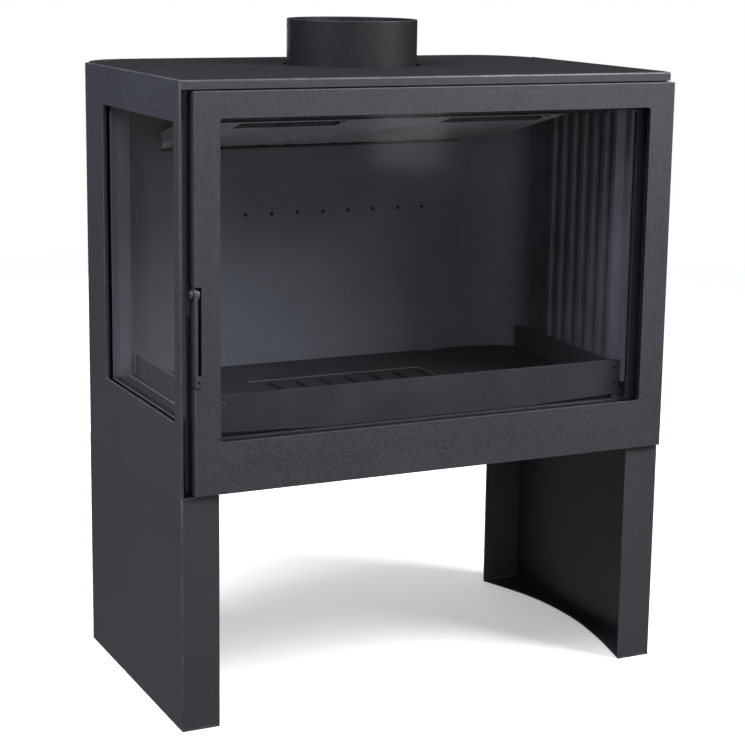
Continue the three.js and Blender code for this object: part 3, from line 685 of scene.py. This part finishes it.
class STOVE_OT_legs(Operator):
    """Folded legs with their foot plates, top plates and bolts"""

    bl_idname = "stove.legs"
    bl_label = "Legs"

    def execute(self, context):
        sizes = context.scene.stove_finish
        for side in ("left", "right"):
            low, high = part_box(f"leg_{side}_shell")
            outer = low.x if side == "left" else high.x

            def folds(form, outer=outer):
                round_edges(
                    form, sizes.fold_radius, sizes.round_steps + 1,
                    lambda e: along(2)(e) and at_level(0, outer)(e))

            finish_node(f"leg_{side}_shell", "leg", sizes.cut_edge, shape=folds)
            finish_nodes(
                "leg", sizes.cut_edge,
                f"leg_{side}_foot_plate", f"leg_{side}_top_plate")
            finish_nodes(
                "steel", DEBURRED,
                f"leg_{side}_bolt_front", f"leg_{side}_bolt_rear")
        return {"FINISHED"}


class STOVE_OT_body_panels(Operator):
    """Outer panels: base, sides, top plate and the rounded rear cover"""

    bl_idname = "stove.body_panels"
    bl_label = "Body panels"

    def execute(self, context):
        sizes = context.scene.stove_finish
        finish_nodes("casing", sizes.cut_edge, "base_plate")
        left = finish_node(
            "side_panel_left", "body", sizes.cut_edge * PANEL_EDGE, sizes.round_steps)
        low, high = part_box("side_panel_left")
        mouth = ((low.x + high.x) / 2, low.y, low.z + (high.z - low.z) * 0.5)
        drill(left, mouth, CATCH_HOLE, HOLE_DEPTH, (0, 1, 0))
        finish_node(
            "side_panel_right", "body", sizes.cut_edge * PANEL_EDGE, sizes.round_steps)
        low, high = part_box("top_plate")

        def fold(form):
            round_edges(
                form, sizes.fold_radius, sizes.round_steps + 1,
                lambda e: along(0)(e) and at_level(1, low.y)(e) and at_level(2, high.z)(e))

        plate = finish_node("top_plate", "body", sizes.cut_edge, shape=fold)
        # The upper face takes the body paint darkened to a third, as painted shade.
        refinish_faces(plate, "top", lambda face: face.normal.z > 0.99)
        self.rear_cover(sizes)
        return {"FINISHED"}

    def rear_cover(self, sizes):
        """One sheet rolled round both rear corners, in finer steps than the CAD."""
        low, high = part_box("rear_cover")
        across, deep, sheet = REAR_CORNER_WIDTH, high.y - low.y, 2 * MM
        centre = Vector((high.x - across, low.y, 0))
        form = bmesh.new()
        foot = form.verts.new((high.x, low.y, low.z))
        head = form.verts.new((high.x, low.y, high.z))
        edge = form.edges.new((foot, head))
        turned = bmesh.ops.spin(
            form, geom=[foot, head, edge], cent=centre, axis=(0, 0, 1),
            angle=math.pi / 2, steps=REAR_CORNER_STEPS)
        bmesh.ops.scale(
            form, vec=(1, deep / across, 1), space=Matrix.Translation(-centre),
            verts=form.verts)
        last = [g for g in turned["geom_last"] if isinstance(g, bmesh.types.BMEdge)]
        flat = bmesh.ops.extrude_edge_only(form, edges=last)
        middle = [g for g in flat["geom"] if isinstance(g, bmesh.types.BMVert)]
        bmesh.ops.translate(form, vec=(-centre.x, 0, 0), verts=middle)
        bmesh.ops.mirror(
            form, geom=form.verts[:] + form.edges[:] + form.faces[:],
            matrix=Matrix.Identity(4), merge_dist=0.01 * MM, axis="X")
        bmesh.ops.remove_doubles(form, verts=form.verts, dist=MERGE)
        bmesh.ops.recalc_face_normals(form, faces=form.faces)
        rear = max(form.faces, key=lambda f: f.calc_center_median().y)
        if rear.normal.y < 0:
            bmesh.ops.reverse_faces(form, faces=form.faces)
        bmesh.ops.solidify(form, geom=form.faces[:], thickness=sheet)
        form.faces.layers.float.new(EDGE_LAYER)
        round_edges(form, 0.4 * MM, 1)
        to_piece(form, "rear_cover_rolled", "body", "stove_body", ["rear_cover"])


class STOVE_OT_flue_collar(Operator):
    """Turned flue collar with its flange and a rounded rim"""

    bl_idname = "stove.flue_collar"
    bl_label = "Flue collar"

    def execute(self, context):
        sizes = context.scene.stove_finish
        low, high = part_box("flue_collar")
        centre = (low + high) / 2
        flange = (high.x - low.x) / 2
        wall, seat = COLLAR_WALL, 4 * MM
        bore = flange - COLLAR_FLANGE
        form = spun_ring([
            centre + Vector((radius, 0, z - centre.z)) for radius, z in (
                (bore, low.z), (flange, low.z), (flange, low.z + seat),
                (bore + wall, low.z + seat), (bore + wall, high.z), (bore, high.z))
        ], centre, (0, 0, 1), COLLAR_STEPS)
        round_edges(form, 1.1 * MM, sizes.round_steps)
        to_piece(form, "flue_collar_turned", "collar", "stove_body", ["flue_collar"])
        return {"FINISHED"}


class STOVE_OT_firebox(Operator):
    """Casing of the fire chamber with its front frame and small brackets"""

    bl_idname = "stove.firebox"
    bl_label = "Firebox casing"

    def execute(self, context):
        sizes = context.scene.stove_finish
        finish_nodes(
            "body", sizes.cut_edge,
            "firebox_front_frame", "hearth_front_angle",
            "log_guard_lug_left", "log_guard_lug_right")
        finish_nodes(
            "casing", sizes.cut_edge,
            "firebox_right_wall", "firebox_rear_wall", "firebox_top_wall",
            "airwash_deflector", "baffle_rear_ledge", "baffle_front_rail")
        finish_nodes("liner", sizes.cut_edge, "firebox_left_wall")
        return {"FINISHED"}


class STOVE_OT_side_window(Operator):
    """Side window: reveal, glass and gasket"""

    bl_idname = "stove.side_window"
    bl_label = "Side window"

    def execute(self, context):
        sizes = context.scene.stove_finish
        reveal = finish_node("side_window_reveal", "liner", sizes.cut_edge)
        refinish_faces(reveal, "sooted_liner", lambda face: face.normal.z > 0.9)
        finish_nodes("glass", DEBURRED, "side_window_glass")
        finish_nodes("rope", ROPE_EDGE, "side_window_gasket")
        return {"FINISHED"}


class STOVE_OT_liners(Operator):
    """Plates that line the fire chamber"""

    bl_idname = "stove.liners"
    bl_label = "Liners"

    def execute(self, context):
        sizes = context.scene.stove_finish
        finish_nodes(
            "liner", sizes.cut_edge,
            "rear_liner", "corner_liner", "rear_liner_clip")
        finish_node(
            "ribbed_side_liner", "rib_iron", sizes.cast_edge * RIB_EDGE, 2)
        return {"FINISHED"}


class STOVE_OT_hearth(Operator):
    """Hearth floor with its boards, grate, ash well, ash pan and log guard"""

    bl_idname = "stove.hearth"
    bl_label = "Hearth"

    def execute(self, context):
        sizes = context.scene.stove_finish
        # The floor and grate take the darkened cast iron, as painted shade.
        finish_nodes("hearth_iron_painted_shade", sizes.cast_edge * FINE_CAST_EDGE, "hearth_floor", "grate")
        finish_nodes(
            "guard_iron", sizes.cast_edge * FINE_CAST_EDGE,
            "hearth_board_left", "hearth_board_right")
        finish_nodes("casing", DEBURRED, "ash_well", "ash_pan")
        finish_node(
            "log_guard", "guard_iron", sizes.cast_edge * FINE_CAST_EDGE, sizes.round_steps)
        low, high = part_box("log_guard")
        seat = Vector((low.x + 16 * MM, low.y, high.z - 14.5 * MM))
        screw = spun_ring([
            seat + Vector(point) * MM for point in (
                (1.4, 0.5, 0), (1.4, -0.5, 0), (2.4, -1.2, 0), (3.6, -1.0, 0),
                (4.2, -0.3, 0), (4.2, 0.5, 0))
        ], seat, (0, 1, 0), 28)
        to_piece(screw, "log_guard_eyelet", "steel", "log_guard")
        return {"FINISHED"}


class STOVE_OT_baffle(Operator):
    """Smoke baffle board with a chipped rear edge, and slots with recesses painted dark as
    shade
    """

    bl_idname = "stove.baffle"
    bl_label = "Baffle"

    def execute(self, context):
        low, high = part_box("baffle_board")

        def crumble(form):
            """Breaks the lower rear edge, where the board has been handled."""
            worn = [
                edge for edge in convex_edges(form, along(0))
                if at_level(2, low.z, CRUMB_REACH)(edge)
            ]
            cut = bmesh.ops.subdivide_edges(form, edges=worn, cuts=CRUMB_CUTS)
            chips = random.Random(CRUMB_SEED)
            made = [g for g in cut["geom_inner"] if isinstance(g, bmesh.types.BMVert)]
            for vert in dict.fromkeys(made):
                lost = max(0.0, noise.noise(vert.co * CRUMB_SCALE)) * CRUMB_DEPTH
                vert.co.z += lost * chips.uniform(0.4, 1.0)
            bmesh.ops.triangulate(form, faces=[f for f in form.faces if len(f.verts) > 12])

        board = finish_node("baffle_board", "vermiculite", DEBURRED, 1, shape=crumble)
        # The recesses' cut faces take this darkened vermiculite, as painted shade.
        board.data.materials.append(finish_of("soot"))
        for left, right in BAFFLE_SLOTS:
            middle = Vector((
                (left + right) / 2, BAFFLE_SLOT_Y,
                low.z + (high.y - BAFFLE_SLOT_Y) * BAFFLE_RISE))
            recess = bmesh.new()
            bmesh.ops.create_cube(recess, size=1, matrix=Matrix.LocRotScale(
                middle, Euler((-math.atan(BAFFLE_RISE), 0, 0)),
                (right - left, BAFFLE_RECESS_WIDTH, 2 * BAFFLE_RECESS_DEPTH)))
            carve(board, recess)
        return {"FINISHED"}


class STOVE_OT_air_control(Operator):
    """Air slider under the base and its keepers"""

    bl_idname = "stove.air_control"
    bl_label = "Air control"

    def execute(self, context):
        finish_nodes("steel", DEBURRED, "air_slider")
        finish_nodes(
            "casing", 0.4 * MM,
            "air_slider_keeper_rear", "air_slider_keeper_front_left",
            "air_slider_keeper_front_right")
        return {"FINISHED"}


class STOVE_OT_door(Operator):
    """Door frame, glass, retainer, gasket and rope seal"""

    bl_idname = "stove.door"
    bl_label = "Door"

    def execute(self, context):
        sizes = context.scene.stove_finish
        low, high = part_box("door_frame")
        rims = ((0, low.x), (0, high.x), (2, low.z), (2, high.z))

        def folds(form):
            round_edges(
                form, sizes.fold_radius, sizes.round_steps + 1,
                lambda e: at_level(1, low.y)(e) and any(at_level(*rim)(e) for rim in rims))
            round_edges(form, sizes.cut_edge * RIM_EDGE, 2, at_level(1, low.y))

        door = finish_node("door_frame", "body", sizes.cut_edge * PANEL_EDGE, shape=folds)
        # Painted shade: the faces inside the door's opening that face down or sideways take the
        # near-black flue paint.
        refinish_faces(door, "collar", lambda face: (
            abs(face.normal.y) < 0.1 and face.normal.z < 0.5
            and low.x + RIM_BAND < face.center.x < high.x - RIM_BAND
            and low.z + RIM_BAND < face.center.z < high.z - RIM_BAND))
        finish_nodes("glass", DEBURRED, "door_glass")
        finish_nodes("rope", ROPE_EDGE, "door_glass_gasket")
        finish_nodes("casing", DEBURRED, "door_glass_retainer")
        self.rope()
        return {"FINISHED"}

    def rope(self):
        """Rope swept round the door in four straights and four bends."""
        low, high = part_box("door_rope_seal")
        half_width, half_depth, bend = ROPE_HALF_WIDTH, (high.y - low.y) / 2, ROPE_BEND
        line = [
            low.x + half_width, high.x - half_width,
            low.z + half_width, high.z - half_width]
        form = bmesh.new()
        start = Vector((0, (low.y + high.y) / 2, line[2]))
        circle = bmesh.ops.create_circle(
            form, cap_ends=False, segments=20, radius=1.0,
            matrix=Matrix.Translation(start) @ Matrix.Rotation(math.pi / 2, 4, "Y"))
        bmesh.ops.scale(
            form, vec=(1, half_depth, half_width), space=Matrix.Translation(-start),
            verts=circle["verts"])
        ring = list(dict.fromkeys(e for v in circle["verts"] for e in v.link_edges))
        corners = [
            ((line[1] - bend, line[2] + bend), (1, 0)),
            ((line[1] - bend, line[3] - bend), (0, 1)),
            ((line[0] + bend, line[3] - bend), (-1, 0)),
            ((line[0] + bend, line[2] + bend), (0, -1)),
        ]
        for (x, z), (run_x, run_z) in corners:
            centre = sum((e.verts[0].co for e in ring), Vector()) / len(ring)
            reach = (x - centre.x) * run_x + (z - centre.z) * run_z
            ring = self.extend(form, ring, Vector((run_x, 0, run_z)) * reach)
            turned = bmesh.ops.spin(
                form, geom=ring + list(dict.fromkeys(v for e in ring for v in e.verts)),
                cent=(x, start.y, z), axis=(0, -1, 0), angle=math.pi / 2, steps=8)
            ring = [g for g in turned["geom_last"] if isinstance(g, bmesh.types.BMEdge)]
        centre = sum((e.verts[0].co for e in ring), Vector()) / len(ring)
        self.extend(form, ring, Vector((start.x - centre.x, 0, 0)))
        bmesh.ops.remove_doubles(form, verts=form.verts, dist=0.01 * MM)
        bmesh.ops.recalc_face_normals(form, faces=form.faces)
        form.faces.layers.float.new(EDGE_LAYER)
        to_piece(form, "door_rope_knitted", "rope", "door", ["door_rope_seal"])

    def extend(self, form, ring, step):
        """Extrudes a ring of edges along a straight step and returns the new ring."""
        grown = bmesh.ops.extrude_edge_only(form, edges=ring)
        bmesh.ops.translate(
            form, vec=step,
            verts=[g for g in grown["geom"] if isinstance(g, bmesh.types.BMVert)])
        ends = {g for g in grown["geom"] if isinstance(g, bmesh.types.BMVert)}
        return [
            g for g in grown["geom"]
            if isinstance(g, bmesh.types.BMEdge) and set(g.verts) <= ends
        ]


class STOVE_OT_handle(Operator):
    """Door lever with its pivot pin and latch hook"""

    bl_idname = "stove.handle"
    bl_label = "Handle"

    def execute(self, context):
        lever = finish_node("handle_lever", "body", 0.8 * MM, 3)
        low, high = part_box("handle_lever")
        mouth = (high.x - 4.5 * MM, low.y, low.z + 8 * MM)
        drill(lever, mouth, LEVER_HOLE, HOLE_DEPTH, (0, 1, 0))
        finish_nodes("steel", DEBURRED, "latch_hook", "handle_pivot_pin")
        return {"FINISHED"}


class STOVE_OT_hinges(Operator):
    """Door hinge blocks and pins"""

    bl_idname = "stove.hinges"
    bl_label = "Hinges"

    def execute(self, context):
        finish_nodes(
            "steel", DEBURRED,
            "door_hinge_block_top", "door_hinge_block_bottom",
            "hinge_pin_top", "hinge_pin_bottom")
        return {"FINISHED"}


class STOVE_OT_stage(Operator):
    """Pale floor, soft studio lights and the camera"""

    bl_idname = "stove.stage"
    bl_label = "Stage"

    def execute(self, context):
        stage = context.scene.stove_stage
        context.scene.view_settings.view_transform = "Standard"
        self.camera(context, stage)
        self.floor(context, stage)
        self.lights(context, stage)
        return {"FINISHED"}

    def camera(self, context, stage):
        data = bpy.data.cameras.new("camera")
        data.sensor_width = 36
        data.lens = stage.lens
        data.shift_y = stage.lift
        a, e = stage.azimuth, stage.elevation
        back = Vector((math.sin(a) * math.cos(e), -math.cos(a) * math.cos(e), math.sin(e)))
        right = Vector((math.cos(a), math.sin(a), 0))
        up = back.cross(right)
        turn = Matrix((right, up, back)).transposed() @ Matrix.Rotation(stage.roll, 3, "Z")
        camera = bpy.data.objects.new("camera", data)
        camera.matrix_world = Matrix.Translation(stage.camera_place) @ turn.to_4x4()
        context.scene.collection.objects.link(camera)
        context.scene.camera = camera

    def floor(self, context, stage):
        form = bmesh.new()
        bmesh.ops.create_grid(form, x_segments=8, y_segments=8, size=14)
        mesh = bpy.data.meshes.new("studio_floor")
        form.to_mesh(mesh)
        form.free()
        mesh.materials.append(studio_floor("white_laminate_floor", stage.floor_colour))
        floor = bpy.data.objects.new("studio_floor", mesh)
        floor.location.z = -0.5 * MM
        context.scene.collection.objects.link(floor)
        floor.visible_diffuse = False
        floor.visible_glossy = False

    def lights(self, context, stage):
        target = (CAD_BOX[0] + CAD_BOX[1]) / 2
        for name, place, size, power, warmth in (
            ("key_light", (1.75, -1.65, 2.25), (1.2, 1.2), stage.key_power, "#ffffff"),
            ("fill_light", (-1.9, -0.5, 2.5), (1.4, 1.4), stage.fill_power, "#f4f7ff"),
            ("front_light", (-0.6, -4.2, 1.3), (2.2, 1.6), stage.front_power, "#ffffff"),
            ("rim_light", (0.9, 3.6, 0.45), (2.2, 0.8), stage.rim_power, "#ffffff"),
            ("strip_light", (1.19, -2.72, 0.66), (0.20, 0.30), stage.strip_power, "#ffffff"),
        ):
            data = bpy.data.lights.new(name, "AREA")
            data.shape = "RECTANGLE"
            data.size, data.size_y = size
            data.energy = power
            data.color = linear(warmth)[:3]
            light = bpy.data.objects.new(name, data)
            light.location = place
            aim = Vector(place) - target
            light.rotation_euler = aim.to_track_quat("Z", "Y").to_euler()
            light.visible_camera = False
            context.scene.collection.objects.link(light)
        world = bpy.data.worlds.new("studio")
        world.use_nodes = True
        context.scene.world = world
        tree = world.node_tree
        tree.nodes.clear()
        seen = add_node(tree, "ShaderNodeLightPath")
        around = add_node(tree, "ShaderNodeTexCoord")
        height = add_node(tree, "ShaderNodeSeparateXYZ", inputs={
            "Vector": around.outputs["Generated"]})
        rise = add_node(tree, "ShaderNodeMapRange", inputs={
            "Value": height.outputs["Z"], "From Min": -1.0, "From Max": 1.0})
        sky = add_node(tree, "ShaderNodeValToRGB", inputs={"Fac": rise.outputs["Result"]})
        first, last = sky.color_ramp.elements
        first.position, first.color = 0.0, (0.60, 0.60, 0.60, 1)
        last.position, last.color = 1.0, (0.45, 0.45, 0.45, 1)
        for level, glow in SKY_GLOW:
            stop = sky.color_ramp.elements.new(level)
            stop.color = (glow, glow, glow, 1)
        lit = add_node(tree, "ShaderNodeBackground", inputs={
            "Color": sky.outputs["Color"], "Strength": 1.0})
        shown = add_node(tree, "ShaderNodeBackground", inputs={
            "Color": linear("#ffffff"), "Strength": 1.0})
        mixed = add_node(tree, "ShaderNodeMixShader", inputs={
            0: seen.outputs["Is Camera Ray"],
            1: lit.outputs["Background"], 2: shown.outputs["Background"]})
        add_node(tree, "ShaderNodeOutputWorld", inputs={"Surface": mixed.outputs["Shader"]})


STEPS = (
    STOVE_OT_stage, STOVE_OT_legs, STOVE_OT_body_panels, STOVE_OT_flue_collar,
    STOVE_OT_firebox, STOVE_OT_side_window, STOVE_OT_liners, STOVE_OT_hearth,
    STOVE_OT_baffle, STOVE_OT_air_control, STOVE_OT_door, STOVE_OT_handle,
    STOVE_OT_hinges,
)


class STOVE_PT_panel(Panel):
    """Lists the stove's steps and settings"""

    bl_idname = "STOVE_PT_panel"
    bl_label = "Wood Burning Stove"
    bl_space_type = "VIEW_3D"
    bl_region_type = "UI"
    bl_category = "Stove"

    def draw(self, context):
        layout = self.layout
        for group in (context.scene.stove_finish, context.scene.stove_stage):
            box = layout.box()
            for name in group.__annotations__:
                box.prop(group, name)
        for step in STEPS:
            layout.operator(step.bl_idname)


CLASSES = (StoveFinishSettings, StoveStageSettings, *STEPS, STOVE_PT_panel)


def register():
    for made in CLASSES:
        bpy.utils.register_class(made)
    bpy.types.Scene.stove_finish = PointerProperty(type=StoveFinishSettings)
    bpy.types.Scene.stove_stage = PointerProperty(type=StoveStageSettings)


def unregister():
    del bpy.types.Scene.stove_stage
    del bpy.types.Scene.stove_finish
    for made in reversed(CLASSES):
        bpy.utils.unregister_class(made)


def main():
    register()
    for step in STEPS:
        group, name = step.bl_idname.split(".")
        getattr(getattr(bpy.ops, group), name)()


if __name__ == "__main__":
    main()
